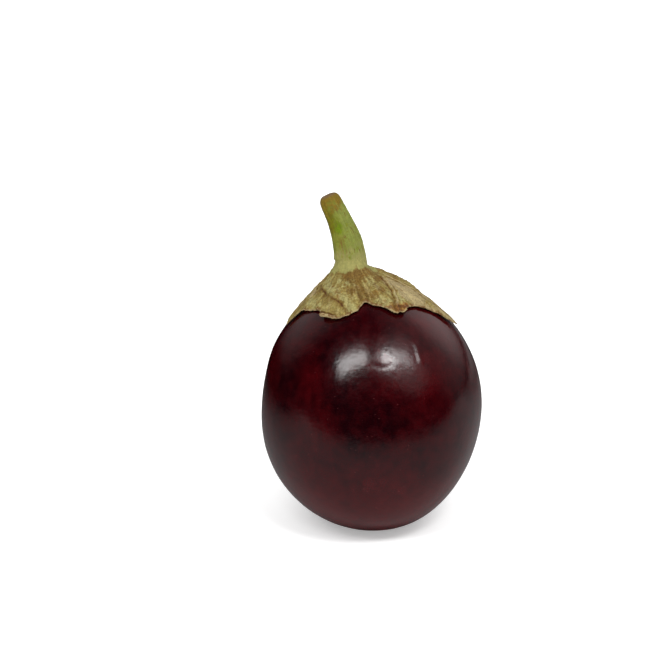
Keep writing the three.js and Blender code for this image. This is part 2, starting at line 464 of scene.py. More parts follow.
def aim_camera():
    """The camera sees the fruit where the picture has it, with no lens shift."""
    camera = placed("camera", bpy.data.cameras.new("camera"))
    camera.data.sensor_width = SENSOR_WIDTH
    focal = PIXELS_PER_MM * VIEW_DISTANCE
    camera.data.lens = SENSOR_WIDTH * focal / PICTURE_SIDE
    right = FRUIT_PIXEL_X - PICTURE_SIDE / 2
    down = FRUIT_PIXEL_Y - PICTURE_SIDE / 2
    elevation = math.radians(VIEW_ELEVATION)
    depth = math.hypot(down, focal)
    pitch = math.asin(math.sin(elevation) * math.hypot(right, depth) / depth) - math.atan2(down, focal)
    ahead = focal * math.cos(pitch) - down * math.sin(pitch)
    turn = Matrix.Rotation(math.atan2(right, ahead), 3, "Z") @ Matrix.Rotation(math.pi / 2 - pitch, 3, "X")
    middle = Vector(-REST_POINT)
    back = Vector((0, -math.cos(elevation), math.sin(elevation))) * VIEW_DISTANCE
    camera.matrix_world = Matrix.Translation((middle + back) * MM) @ turn.to_4x4()
    camera.data.clip_start = 0.01
    bpy.context.scene.camera = camera


def skin_relief(points, polar, front):
    """Small forms of the skin: faint dimples, and the marks that catch the light."""
    dimples = DIMPLE_HEIGHT * noise(points, size=7, seed=11, octaves=2)
    relief = dimples + PORE_HEIGHT * noise(points, size=2.2, seed=23, octaves=2)
    for line, height, half_width in SKIN_MARKS:
        distance, _ = along_line(front, polar, line)
        relief = relief + height * hump(distance, 0, half_width)
    return relief


def fruit_piece():
    """The fruit: rings from its top to its base, flattened softly where it stands."""
    polar, front = np.meshgrid(np.linspace(0, 180, FRUIT_RINGS + 1),
                               np.arange(FRUIT_SEGMENTS) / FRUIT_SEGMENTS * 360 - 180, indexing="ij")
    plain = beside_fruit(polar, front)
    points = stand(beside_fruit(polar, front, skin_relief(plain, polar, front)))
    level = points[..., 2]
    points[..., 2] = (level + np.sqrt(level ** 2 + FLAT_SOFTNESS ** 2)) / 2
    streaks = fibre_places(180 - front, polar, np.sin(np.radians(polar)) * FIBRE_RING)
    return ring_mesh("eggplant_fruit", points, {"streaks": streaks, "redness": redness(polar, front)})


def redness(polar, front):
    """The share of red in the skin: in soft patches, and more towards the base."""
    places = flat_map(front, polar)
    total = USUAL_RED + BASE_RED * smooth(BASE_RED_START, BASE_RED_END, polar)
    for at, down, half_width, amount in RED_PLACES:
        gap = places - flat_map(at, down)
        total = total + amount * np.exp(-(gap ** 2).sum(axis=-1) / half_width ** 2)
    return total


def cap_lift(front, share, wrinkle=0):
    """How far the cap's underside stands off the fruit."""
    wave = WAVE_HEIGHT * (0.5 + 0.5 * np.cos(np.radians(WAVE_COUNT * front + WAVE_TURN)))
    tips = bumps(LIFTED_TIPS, front) * share ** LIFT_POWER
    return CAP_GAP + tips + (wave + wrinkle) * share ** WAVE_POWER


def curled(front, share):
    """The azimuths after the curled tip is turned to the left."""
    return front + bumps(CURL_TURN, front) * smooth(CURL_START, 1, share)


def cap_body(front, share, polar):
    """The cap's thickness without its small forms."""
    blade = RIM_THICKNESS + BLADE_SWELL * (1 - share ** BLADE_POWER)
    crown = 0
    for height, fall_off in CROWN_SWELLS:
        crown = crown + height * np.exp((CROWN_START - polar) / fall_off)
    crown = crown - bumps(CROWN_DIP, front) * np.exp((CROWN_START - polar) / CROWN_DIP_FALL)
    return blade + crown + bumps(RIBS, front, RIB_POLAR / polar) * (1 - RIB_FADE * share)


def faded(share, start=0.1, end=0.12):
    """1 along a line, with soft ends."""
    return smooth(0, start, share) * (1 - smooth(1 - end, 1, share))


def fold_forms(plain, front, polar):
    """The folds' steps, and the shade along them."""
    form = 0
    dark = 0
    for line, height in FOLDS:
        distance, run = along_line(front, polar, line)
        distance = distance + LINE_WANDER * noise(plain, size=3, seed=101, octaves=2)
        raised = 1 - smooth(-FOLD_EDGE, FOLD_EDGE, distance)
        form = form + height * raised * np.exp(np.minimum(distance, 0) / FOLD_FALL) * faded(run)
        shade = sum(strength * hump(distance, middle, half) for strength, middle, half in FOLD_SHADES)
        dark = np.maximum(dark, shade * faded(run))
    return form, dark


def midrib_forms(plain, front, polar):
    """The midribs' crests and grooves, with painted shade along the grooves and a pale line along the
    crests that is partly painted highlight.
    """
    form = 0
    dark = 0
    light = 0
    for line, height in MIDRIBS:
        distance, run = along_line(front, polar, line)
        distance = distance + LINE_WANDER * noise(plain, size=3, seed=103, octaves=2)
        crest = hump(distance, -CREST_BESIDE, CREST_HALF_WIDTH)
        groove = hump(distance, 0, GROOVE_HALF_WIDTH)
        beyond = CREST_SHADE * hump(distance, -2 * CREST_BESIDE, GROOVE_HALF_WIDTH)
        halo = HALO_SHADE * hump(distance, GROOVE_HALF_WIDTH, HALO_HALF_WIDTH)
        shade = np.maximum.reduce([GROOVE_SHADE * groove, beyond, halo])
        form = form + (height * crest - GROOVE_DEPTH * groove) * faded(run)
        dark = np.maximum(dark, shade * faded(run))
        light = np.maximum(light, crest * faded(run))
    return form, dark, light


def curl_forms(front, polar):
    """The lip of the curled tip and the groove behind it, with the lip's pale line and painted shade in
    the groove.
    """
    distance, run = along_line(front, polar, CURL_LINE)
    lip = smooth(0, CURL_LIP_RISE, distance) * (1 - smooth(*CURL_LIP_FALL, distance))
    groove = hump(distance, 0, CURL_GROOVE_HALF_WIDTH) * faded(run, start=0.1, end=0.3)
    form = CURL_LIP * lip * faded(run) - CURL_GROOVE * groove
    return form, CURL_GROOVE_SHADE * groove, lip * faded(run, start=0.02, end=0.3)


def shoulder_forms(plain, front, polar):
    """The step where the shoulder ends, and the shade below it."""
    past = polar - round_curve(SHOULDER_EDGE, front) + 0.7 * noise(plain, size=2.5, seed=71)
    form = SHOULDER_STEP * (1 - smooth(-SHOULDER_EDGE_HALF, SHOULDER_EDGE_HALF, past))
    return form, SHOULDER_SHADE * hump(past, SHOULDER_EDGE_HALF, 0.7)


def crumple_forms(plain, front, polar, share):
    """The dried blade's crumple, creping and veins."""
    fibre = fibre_places(front, polar)
    pleats = PLEAT_HEIGHT * (1 - 3 * np.abs(lattice_noise(plain / PLEAT_SIZE, seed=37)))
    crumple = CRUMPLE_HEIGHT * noise(plain, size=5, seed=31, octaves=2) + pleats
    grain = GRAIN_HEIGHT * noise(fibre, size=1.7, seed=47, octaves=2)
    creping = CREPE_HEIGHT * noise(plain, size=1.2, seed=41, octaves=2) + grain
    veins = hump(noise(fibre, size=3.2, seed=53, octaves=2), 0, VEIN_HALF_WIDTH)
    veins = veins * smooth(VEIN_START, VEIN_FULL, polar)
    blade = smooth(CROWN_START, CROWN_START + CRUMPLE_EASE, polar)
    return blade * (crumple * (1 - 0.5 * share ** 4) + creping + VEIN_HEIGHT * veins), veins


def cap_forms(front, polar, share):
    """The blade's small forms, and the lines painted along them: painted shade in folds and grooves, and
    pale lines on crests and the lip, partly painted highlight.
    """
    plain = beside_fruit(polar, front)
    folds, fold_shade = fold_forms(plain, front, polar)
    midribs, midrib_shade, crests = midrib_forms(plain, front, polar)
    curl, curl_shade, lip = curl_forms(front, polar)
    shoulder, shoulder_shade = shoulder_forms(plain, front, polar)
    crumple, veins = crumple_forms(plain, front, polar, share)
    # Painted shade: dark lines at the folds' feet, in the midribs' grooves, behind the curl's lip and
    # below the shoulder's step, partly the creases' own brown
    dark = np.maximum.reduce([fold_shade, midrib_shade, curl_shade, shoulder_shade])
    broken = np.clip(0.95 + 0.6 * noise(plain, size=2.2, seed=107), 0.45, 1.3)
    # The light lines: the curl's pale lip, and a pale line along the midribs' crests that is partly
    # painted highlight
    marks = {"crease_and_painted_shade": dark * broken, "light": np.maximum(crests, lip), "veins": veins}
    return folds + midribs + curl + shoulder + crumple, marks


# Places of the blade by their colour: azimuth, polar angle and half width in millimetres
PALE_PATCHES = [
    (-62, 16, 2.2), (-47, 18, 2.2), (-33, 20, 2), (-24, 22, 1.8), (-14, 24.5, 2), (-6, 28, 2.2),
    (-4, 31.5, 2), (-27, 14.5, 1.2), (-10, 15.3, 1.2), (4, 16.6, 1.2), (-15, 17.7, 1.2), (32, 17.5, 1.4),
    (29, 14.7, 1.2), (35, 20.6, 1.3), (26, 30, 1.6), (28, 27, 1.6), (36, 29.6, 2), (50, 30, 2),
    (52, 27, 1.6), (46, 25, 1.4), (-37, 20.4, 1.6), (-52, 29, 2), (-42, 29.5, 1.2), (-64, 30, 2.2),
    (62, 30, 1.8), (-95, 27, 4), (-140, 27, 4), (178, 24, 4), (135, 30, 4), (118, 27, 3), (160, 28, 3),
]
BROWN_PATCHES = [
    (-14, 11.8, 1.6), (8, 12, 2.4), (21, 12.3, 2.6), (0, 14, 1.8), (50, 11.8, 2.2), (61, 14.5, 1.8),
    (12, 19.8, 2.8), (-3, 20.8, 2.2), (23, 24.7, 2.6), (10, 24.5, 2.2), (45, 16, 1.8), (-80, 22, 2),
    (-62, 22, 1.8), (-45, 24, 1.4), (-24, 21.5, 1.8), (-14, 27.5, 1.2), (40, 23.5, 1.2), (78, 50, 2),
    (72, 40.6, 1.6), (77, 44.6, 1.6), (37, 22, 1.6), (33, 19, 1.4), (-120, 16, 4), (160, 15, 4),
    (150, 40, 3), (-155, 42, 3), (112, 20, 3), (-100, 30, 2),
]
PINK_PATCHES = [
    (75, 20, 3.4), (85, 27, 3.8), (88, 35, 3.6), (84, 44, 3), (72, 43, 3.5), (68, 26, 3.8), (60, 19, 2),
    (62, 36, 3.4), (57, 29, 2.4), (72, 34, 3.4), (86, 50, 2.6), (87, 53.5, 2.2), (-85, 24, 2.5),
    (-76, 25, 2), (-88, 33, 2), (125, 18, 3), (-105, 20, 3), (-165, 30, 3), (172, 18, 3),
]
RUST_PATCHES = [
    (25, 30.4, 0.6), (30, 32.6, 1.2), (34.5, 34, 1.9), (39, 35, 2.2), (44, 35, 2), (50, 34.4, 1.5),
    (141, 42, 1.6), (-152, 44, 1.6), (84, 52.5, 1.6), (-83, 38, 0.9),
]
# The share of each tone on the hidden underside, and a distance from the rim beyond all of its colour
MIXED_TONE = 0.4
FAR_FROM_RIM = 20
# How strongly the light lines turn pink, on the crests partly as painted highlight
PALE_LINE_AND_HIGHLIGHT_TONE = 0.9


def shoulder_share(front, polar):
    """1 on the pale shoulder round the stem's foot, with a blotchy border."""
    blotches = 1.1 * noise(beside_fruit(polar, front), size=2.2, seed=109)
    return 1 - smooth(-1.2, 1.2, polar - round_curve(SHOULDER_EDGE, front) + blotches)


def stem_tones(share, front):
    """Where the stem is yellowish, bright green, greyish, or streaked brown at its foot."""
    low = 1 - smooth(0.38, 0.5, share)
    return {
        "yellow": hump(between(front, -50), 0, 48) * smooth(0.4, 0.62, share),
        "bright": hump(between(front, -12), 0, 22) * hump(share, 0.58, 0.1),
        "grey": hump(between(front, 40), 0, 62) * (1 - smooth(0.8, 0.97, share)),
        "streaked": hump(between(front, -18), 0, 26) * low,
    }


def ragged_reach(columns):
    """The outline with its small tears and crisp, dried bites."""
    places = fibre_places(columns, 0, RIM_RING)
    tears = TEAR_DEPTH * noise(places, size=2.4, seed=67)
    bites = BITE_DEPTH * np.clip(noise(places, size=1.7, seed=61, octaves=2) - BITE_START, 0, None)
    torn = bumps(TORN_TIPS, columns) * np.abs(noise(places, size=1.3, seed=63, octaves=2))
    return round_curve(CAP_OUTLINE, columns) + tears - bites - torn


def stem_curve(count=100):
    """Points, directions and lengths run on a smooth curve through the stem's middle line."""
    line = np.array(STEM_LINE, float)
    ends = np.vstack([2 * line[0] - line[1], line, 2 * line[-1] - line[-2]])
    points = []
    for index in range(1, len(line)):
        before, start, end, after = ends[index - 1:index + 3]
        for share in np.arange(count) / count:
            points.append(0.5 * (2 * start + (end - before) * share
                                 + (2 * before - 5 * start + 4 * end - after) * share ** 2
                                 + (3 * start - before - 3 * end + after) * share ** 3))
    points = np.array(points + [line[-1]])
    lengths = np.concatenate([[0], np.cumsum(np.linalg.norm(np.diff(points, axis=0), axis=1))])
    directions = np.gradient(points, axis=0)
    directions /= np.linalg.norm(directions, axis=1)[:, None]
    return points, directions, lengths


def soft_radius(share):
    """The stem's radius at a share of its line, on a smooth curve through its given radii."""
    at = np.array([point[0] for point in STEM_RADII])[::-1]
    radius = np.array([point[1] for point in STEM_RADII])[::-1]
    slope = np.gradient(radius, at)
    slope[-1] = 3 * slope[-2]
    end = np.clip(np.searchsorted(at, share, side="right"), 1, len(at) - 1)
    start = end - 1
    span = at[end] - at[start]
    value = eased((share - at[start]) / span, radius[start], radius[end], slope[start] * span,
                  slope[end] * span)
    return np.clip(value, 0, None)


def stem_course(stem_share):
    """Middle points of the stem, the directions along it, to its right and to its back, and its length."""
    curve, directions, lengths = stem_curve()
    shares = lengths / lengths[-1]
    centre = np.stack([np.interp(stem_share, shares, curve[:, axis]) for axis in range(3)], axis=-1)
    along = np.stack([np.interp(stem_share, shares, directions[:, axis]) for axis in range(3)], axis=-1)
    side = np.array([1.0, 0, 0]) - along[:, :1] * along
    side /= np.linalg.norm(side, axis=1)[:, None]
    return centre, along, side, np.cross(along, side), lengths[-1]


def stem_rings(columns):
    """The stem's rings from the middle of its cut end down to its foot, with shares, fibres and specks."""
    foot = STEM_RADII[-1][0]
    stem_share = 1 - (1 - foot) * np.linspace(0, 1, STEM_RINGS) ** STEM_EASE
    centre, along, side, deep, length = stem_course(stem_share)
    to_right = np.sin(np.radians(columns))
    to_back = -np.cos(np.radians(columns))
    fibre = fibre_places(columns, (-stem_share * length / STEM_GRAIN_LENGTH)[:, None])
    plain = soft_radius(stem_share)[:, None]
    body = smooth(0, 0.08, 1 - stem_share)[:, None] * smooth(foot, foot + 0.1, stem_share)[:, None]
    specks = smooth(0.38, 0.6, lattice_noise(fibre * SPECK_STRETCH / SPECK_SIZE, seed=83)) * body
    lumps = STEM_LUMP_HEIGHT * noise(fibre, size=6, seed=79, octaves=2)
    grain = STEM_GRAIN_HEIGHT * noise(fibre, size=2.2, seed=73, octaves=2)
    ribs = 1 + STEM_RIB_HEIGHT * np.cos(STEM_RIB_COUNT * np.radians(columns - 90))
    radius = plain * ribs + (lumps + grain + SPECK_HEIGHT * specks) * body
    rings = centre[:, None] + radius[..., None] * (side[:, None] * to_right[:, None]
                                                   + deep[:, None] * to_back[:, None])
    face = np.clip(1 - (plain / CUT_RADIUS) ** 2, 0, 1) * (stem_share[:, None] > CUT_START)
    sunk = CUT_DEPTH * face * (1 + 0.5 * noise(rings, size=1.3, seed=89, octaves=2))
    return rings - sunk[..., None] * along[:, None], stem_share, fibre, specks


def rim_and_underside(columns, reach, rim_body, wrinkle):
    """The rim, rounded over from the upper face, and the underside, back to the middle."""
    turn = np.linspace(0, np.pi, RIM_RINGS + 2)[1:-1, None]
    front = np.broadcast_to(columns, (RIM_RINGS, CAP_SEGMENTS))
    height = cap_lift(front, 1, wrinkle) + rim_body * (0.5 + 0.5 * np.cos(turn))
    rim = beside_fruit(reach + RIM_ROUNDING * np.sin(turn), curled(front, 1), height)
    share = np.linspace(1, 0, UNDER_RINGS)[:, None]
    front = np.broadcast_to(columns, (UNDER_RINGS, CAP_SEGMENTS))
    under = beside_fruit(reach * share, curled(front, share), cap_lift(front, share, wrinkle))
    return np.concatenate([rim, under])


def cap_tints(front, polar, reach, marks, stem_share, stem_fibre, specks):
    """What the material needs to know: values on the stem, on the blade and on the rest."""
    on_stem = np.zeros((STEM_RINGS, CAP_SEGMENTS))
    on_blade = np.zeros(polar.shape)
    on_rest = np.zeros((RIM_RINGS + UNDER_RINGS, CAP_SEGMENTS))
    mixed = on_rest + MIXED_TONE
    shares = stem_share[:, None] + on_stem
    # The pink tone also takes the light lines, the crests' line partly as painted highlight
    pink = np.maximum(patches(PINK_PATCHES, front, polar), PALE_LINE_AND_HIGHLIGHT_TONE * marks["light"])
    parts = {
        "pale": (on_stem, patches(PALE_PATCHES, front, polar), mixed),
        "brown": (on_stem, patches(BROWN_PATCHES, front, polar), mixed),
        "pink": (on_stem, pink, mixed),
        "rust": (on_stem, patches(RUST_PATCHES, front, polar), on_rest),
        # Where the blade is painted darker: the creases' own brown, and painted shade in folds, grooves
        # and below the shoulder's step
        "crease_and_painted_shade": (on_stem, marks["crease_and_painted_shade"], on_rest),
        "veins": (on_stem, marks["veins"], on_rest),
        "rim": (on_stem + FAR_FROM_RIM, (reach - polar) * MM_PER_DEGREE, on_rest),
        "shoulder": (on_stem + 1, shoulder_share(front, polar), on_rest),
        "stem": (shares, on_blade, on_rest),
        "specks": (specks, on_blade, on_rest),
        "fibre": (stem_fibre, fibre_places(front, polar), np.zeros((*on_rest.shape, 3))),
    }
    for key, tone in stem_tones(shares, front[0]).items():
        parts[key] = (tone, on_blade, on_rest)
    return {key: np.concatenate(values) for key, values in parts.items()}


def cap_piece():
    """The cap and stem in one: rings from the cut end down the stem, out to the rim and back below."""
    columns = np.arange(CAP_SEGMENTS) / CAP_SEGMENTS * 360 - 180
    reach = ragged_reach(columns)
    stem, stem_share, stem_fibre, specks = stem_rings(columns)
    spread = np.linspace(0, 1, BLADE_RINGS)[:, None]
    polar = CROWN_START + (reach - CROWN_START) * spread ** CROWN_EASE
    share = polar / reach
    front = np.broadcast_to(columns, polar.shape)
    wrinkle = WRINKLE_HEIGHT * (1 + noise(beside_fruit(polar, front), size=6, seed=97, octaves=2))
    form, marks = cap_forms(front, polar, share)
    thickness = np.maximum(cap_body(front, share, polar) + form, LEAST_THICKNESS)
    blade = beside_fruit(polar, curled(front, share), cap_lift(front, share, wrinkle) + thickness)
    rest = rim_and_underside(columns, reach, thickness[-1], wrinkle[-1])
    tints = cap_tints(front, polar, reach, marks, stem_share, stem_fibre, specks)
    return ring_mesh("eggplant_cap", stand(np.concatenate([stem, blade, rest])), tints)


# The middle part of a noise, where most of its values lie
NOISE_LOW = 0.3
NOISE_HIGH = 0.7


class Nodes:
    """A tree of nodes, and short ways to add and join them."""

    def __init__(self, tree):
        self.tree = tree

    def add(self, kind):
        """A new node."""
        return self.tree.nodes.new("ShaderNode" + kind)

    def feed(self, socket, value):
        """Joins a node's output to a socket, or gives it a number or colour."""
        if isinstance(value, bpy.types.NodeSocket):
            self.tree.links.new(value, socket)
        elif isinstance(value, tuple):
            socket.default_value = (*value, 1)
        else:
            socket.default_value = value

    def math(self, operation, one, other=0.0):
        """One number from two."""
        node = self.add("Math")
        node.operation = operation
        self.feed(node.inputs[0], one)
        self.feed(node.inputs[1], other)
        return node.outputs["Value"]

    def vector_math(self, operation, one, other=None):
        """One number from one or two vectors."""
        node = self.add("VectorMath")
        node.operation = operation
        self.feed(node.inputs[0], one)
        if other is not None:
            self.feed(node.inputs[1], other)
        return node.outputs["Value"]

    def step(self, value, low, high, from_value=0.0, to_value=1.0):
        """A soft step from one value to the other while the input goes from low to high."""
        node = self.add("MapRange")
        node.interpolation_type = "SMOOTHSTEP"
        for socket, number in zip(list(node.inputs)[:5], (value, low, high, from_value, to_value)):
            self.feed(socket, number)
        return node.outputs["Result"]

    def swing(self, grains, from_value, to_value):
        """Noise brought to the range between two values."""
        return self.step(grains, NOISE_LOW, NOISE_HIGH, from_value, to_value)

    def mix(self, factor, one, other, blend="MIX"):
        """A colour between two others."""
        node = self.add("Mix")
        node.data_type = "RGBA"
        node.blend_type = blend
        self.feed(node.inputs["Factor"], factor)
        self.feed(node.inputs[6], one)
        self.feed(node.inputs[7], other)
        return node.outputs[2]

    def shade(self, colour, amount):
        """A colour made darker or brighter."""
        return self.mix(1.0, colour, amount, "MULTIPLY")


class Finish(Nodes):
    """A material."""

    def __init__(self, name):
        self.material = bpy.data.materials.new(name)
        self.material.use_nodes = True
        super().__init__(self.material.node_tree)
        self.shader = self.tree.nodes["Principled BSDF"]
        self.places = self.add("TexCoord").outputs["Object"]

    def attribute(self, name, output="Fac"):
        """Values that are stored on the mesh's points."""
        node = self.add("Attribute")
        node.attribute_name = name
        return node.outputs[output]

    def noise(self, size, detail=3, roughness=0.5, places=None, unit=MM):
        """Noise of about 0 to 1 with grains of the given size, in millimetres or the places' unit."""
        node = self.add("TexNoise")
        self.feed(node.inputs["Vector"], places or self.places)
        node.inputs["Scale"].default_value = 1 / (size * unit)
        node.inputs["Detail"].default_value = detail
        node.inputs["Roughness"].default_value = roughness
        return node.outputs["Fac"]

    def cells(self, size, output="Distance"):
        """Scattered cells of the given size: the distance to their middles, or their colours."""
        node = self.add("TexVoronoi")
        self.feed(node.inputs["Vector"], self.places)
        node.inputs["Scale"].default_value = 1 / (size * MM)
        return node.outputs[output]

    def bump(self, height, depth, under=None):
        """Relief with the given depth in millimetres, over a relief before it."""
        node = self.add("Bump")
        node.inputs["Distance"].default_value = depth * MM
        self.feed(node.inputs["Height"], height)
        if under:
            self.feed(node.inputs["Normal"], under)
        return node.outputs["Normal"]


SKIN_DARK = srgb(22, 0, 3)
SKIN_RED = srgb(64, 1, 5)
SKIN_SPECK = srgb(110, 56, 54)
MOST_RED = 1.3
DOT_SPACING = 2.1
PEEL_DEPTH = 0.045
FINE_PEEL_DEPTH = 0.012


def skin_material():
    """Waxy skin: nearly black purple, with red showing through, streaks, tiny specks and orange peel."""
    finish = Finish("eggplant_skin")
    streaks = finish.attribute("streaks", "Vector")
    broad = finish.noise(24, detail=2)
    mottled = finish.noise(4.5, detail=4, roughness=0.6)
    streaked = finish.noise(1.5, roughness=0.6, places=streaks, unit=1)
    grain = finish.noise(0.8, detail=2)
    red = finish.math("ADD", finish.attribute("redness"), finish.swing(broad, -0.12, 0.12))
    red = finish.math("ADD", red, finish.swing(mottled, -0.14, 0.14))
    red = finish.math("ADD", red, finish.swing(streaked, -0.1, 0.1))
    red = finish.math("MINIMUM", finish.math("MAXIMUM", red, 0.0), MOST_RED)
    colour = finish.mix(red, SKIN_DARK, SKIN_RED)
    dots = finish.step(finish.cells(DOT_SPACING), 0.05, 0.1, 1.0, 0.0)
    some = finish.step(finish.cells(DOT_SPACING, "Color"), 0.5, 0.62)
    dots = finish.math("MULTIPLY", dots, finish.math("MULTIPLY", some, 0.55))
    finish.feed(finish.shader.inputs["Base Color"], finish.mix(dots, colour, SKIN_SPECK))
    rough = finish.math("ADD", finish.swing(mottled, 0.15, 0.19), finish.swing(grain, -0.02, 0.03))
    finish.feed(finish.shader.inputs["Roughness"], rough)
    finish.shader.inputs["IOR"].default_value = 1.45
    peel = finish.bump(finish.noise(1.6, detail=2), PEEL_DEPTH)
    fine_peel = finish.bump(finish.noise(0.35, detail=2), FINE_PEEL_DEPTH, peel)
    finish.feed(finish.shader.inputs["Normal"], fine_peel)
    return finish.material


BLADE_OLIVE = srgb(132, 116, 63)
BLADE_PALE = srgb(149, 141, 90)
BLADE_BROWN = srgb(105, 78, 33)
BLADE_PINK = srgb(161, 144, 106)
BLADE_RUST = srgb(136, 84, 31)
# Deep brown for the hearts of the rusty tips, and for the painted shade in creases and grooves
DEEP_BROWN_AND_PAINTED_SHADE = srgb(82, 50, 24)
RIM_BROWN = srgb(100, 63, 34)
SHOULDER_PALE = srgb(145, 139, 84)
STEM_GREEN = srgb(115, 120, 40)
STEM_YELLOW = srgb(101, 94, 12)
STEM_BRIGHT = srgb(96, 115, 11)
STEM_GREY = srgb(120, 127, 58)
STEM_OCHRE = srgb(115, 94, 27)
SPECK_BROWN = srgb(101, 77, 34)
CUT_BROWN = srgb(111, 88, 57)
PAPER_DEPTH = 0.12
GRAIN_DEPTH = 0.1


def blade_colour(finish, fibres):
    """The dried blade: olive, with pale, brown, pinkish and rusty places, mottling, a torn rim, painted
    shade along its creases and pale crest lines that are partly painted highlight.
    """
    patchy = finish.noise(3.2, detail=5, roughness=0.62)
    fine = finish.noise(1.1, detail=4, roughness=0.68)
    strokes = finish.noise(1.5, detail=4, roughness=0.65, places=fibres, unit=1)
    ragged = finish.math("ADD", finish.swing(patchy, -0.35, 0.35), finish.swing(fine, -0.3, 0.3))
    streaky = finish.math("ADD", ragged, finish.swing(strokes, -0.25, 0.25))
    pale = finish.math("ADD", finish.attribute("pale"), streaky)
    colour = finish.mix(finish.step(pale, 0.1, 0.9, 0.0, 0.95), BLADE_OLIVE, BLADE_PALE)
    brown = finish.math("SUBTRACT", finish.attribute("brown"), streaky)
    colour = finish.mix(finish.step(brown, -0.1, 1.1, 0.0, 0.9), colour, BLADE_BROWN)
    # The pink tone holds the pale crest and lip lines too, the crests' line partly painted highlight
    pink = finish.math("ADD", finish.attribute("pink"), finish.math("MULTIPLY", ragged, 0.6))
    colour = finish.mix(finish.step(pink, 0.2, 0.9, 0.0, 0.8), colour, BLADE_PINK)
    rust = finish.math("SUBTRACT", finish.attribute("rust"), ragged)
    colour = finish.mix(finish.step(rust, 0.2, 0.9, 0.0, 0.85), colour, BLADE_RUST)
    colour = finish.mix(finish.step(rust, 0.68, 1.1, 0.0, 0.9), colour, DEEP_BROWN_AND_PAINTED_SHADE)
    colour = finish.mix(finish.math("MULTIPLY", finish.attribute("veins"), 0.25), colour, BLADE_PINK)
    colour = finish.shade(colour, finish.swing(strokes, 0.8, 1.16))
    colour = finish.shade(colour, finish.swing(finish.noise(0.8, roughness=0.7), 0.72, 1.24))
    # Painted shade along the creases and grooves, over their own brown
    crease_and_painted_shade = finish.math("ADD", finish.attribute("crease_and_painted_shade"), finish.swing(fine, -0.25, 0.25))
    colour = finish.mix(finish.step(crease_and_painted_shade, 0.1, 0.6, 0.0, 0.6), colour, BLADE_BROWN)
    colour = finish.mix(finish.step(crease_and_painted_shade, 0.5, 1.1, 0.0, 0.9), colour, DEEP_BROWN_AND_PAINTED_SHADE)
    edge = finish.math("ADD", finish.attribute("rim"), finish.step(ragged, -0.5, 0.5, -0.5, 0.7))
    colour = finish.mix(finish.step(edge, 0.1, 1.0, 0.75, 0.0), colour, RIM_BROWN)
    torn = finish.math("ADD", finish.attribute("rim"), finish.step(ragged, -0.4, 0.4, 0.25, -0.1))
    return finish.mix(finish.step(torn, 0.0, 0.3, 0.7, 0.0), colour, BLADE_PINK)


def stem_colour(finish, fibres):
    """The stem: mottled green, yellowish at the left and greyish at the right, with a brown end."""
    broad = finish.noise(3.5, detail=4, roughness=0.6)
    mottled = finish.noise(1.4, detail=4, roughness=0.65)
    strokes = finish.noise(1.6, roughness=0.6, places=fibres, unit=1)
    ragged = finish.math("ADD", finish.swing(broad, -0.3, 0.3), finish.swing(mottled, -0.25, 0.25))
    colour = STEM_GREEN
    for key, tone in (("grey", STEM_GREY), ("yellow", STEM_YELLOW), ("bright", STEM_BRIGHT)):
        share = finish.math("ADD", finish.attribute(key), ragged)
        colour = finish.mix(finish.step(share, 0.1, 0.9), colour, tone)
    streaked = finish.math("MULTIPLY", finish.attribute("streaked"), finish.step(strokes, 0.5, 0.62))
    colour = finish.mix(finish.math("MULTIPLY", streaked, 0.8), colour, SPECK_BROWN)
    along = finish.attribute("stem")
    foot = finish.math("ADD", along, finish.math("MULTIPLY", ragged, 0.25))
    colour = finish.mix(finish.step(foot, 0.1, 0.33, 0.85, 0.0), colour, SHOULDER_PALE)
    colour = finish.mix(finish.step(foot, 0.74, 0.92), colour, STEM_OCHRE)
    specks = finish.math("MAXIMUM", finish.attribute("specks"), finish.step(mottled, 0.58, 0.7, 0.0, 0.6))
    specks = finish.math("MULTIPLY", specks, finish.math("ADD", finish.attribute("grey"), 0.3))
    colour = finish.mix(finish.math("MULTIPLY", specks, 0.75), colour, SPECK_BROWN)
    colour = finish.shade(colour, finish.swing(strokes, 0.88, 1.1))
    colour = finish.shade(colour, finish.swing(mottled, 0.84, 1.14))
    return finish.mix(finish.step(along, 0.95, 0.985), colour, CUT_BROWN)


def cap_material():
    """The cap's matt finish: stem colours on the stem and its shoulder, dried colours on the blade."""
    finish = Finish("eggplant_cap")
    fibres = finish.attribute("fibre", "Vector")
    shoulder = finish.step(finish.attribute("shoulder"), 0.2, 0.8)
    colour = finish.mix(shoulder, blade_colour(finish, fibres), stem_colour(finish, fibres))
    finish.feed(finish.shader.inputs["Base Color"], colour)
    finish.shader.inputs["Roughness"].default_value = 0.62
    finish.shader.inputs["Specular IOR Level"].default_value = 0.12
    papery = finish.bump(finish.noise(0.9, detail=5, roughness=0.6), PAPER_DEPTH)
    grain = finish.noise(0.9, roughness=0.6, places=fibres, unit=1)
    grained = finish.bump(grain, GRAIN_DEPTH, papery)
    finish.feed(finish.shader.inputs["Normal"], grained)
    return finish.material


# Square lamps, as the skin mirrors them: direction, angles across, deep and turned, and radiance
SOFT_BOXES = [
    ("box_left", (-0.309, -0.586, 0.749), 28, 11, 37, 11.5),
    ("box_right", (0.368, -0.49, 0.79), 32, 12, -12, 6.3),
    ("box_right_core", (0.256, -0.542, 0.801), 11, 8, -21, 20),
]
BOX_DISTANCE = 8
# Even light: direction, strength and angle
FILL_LIGHTS = [("fill", (-0.15, -0.5, 0.85), 0.6, 80), ("dome", (0, 0, 1), 0.85, 170)]


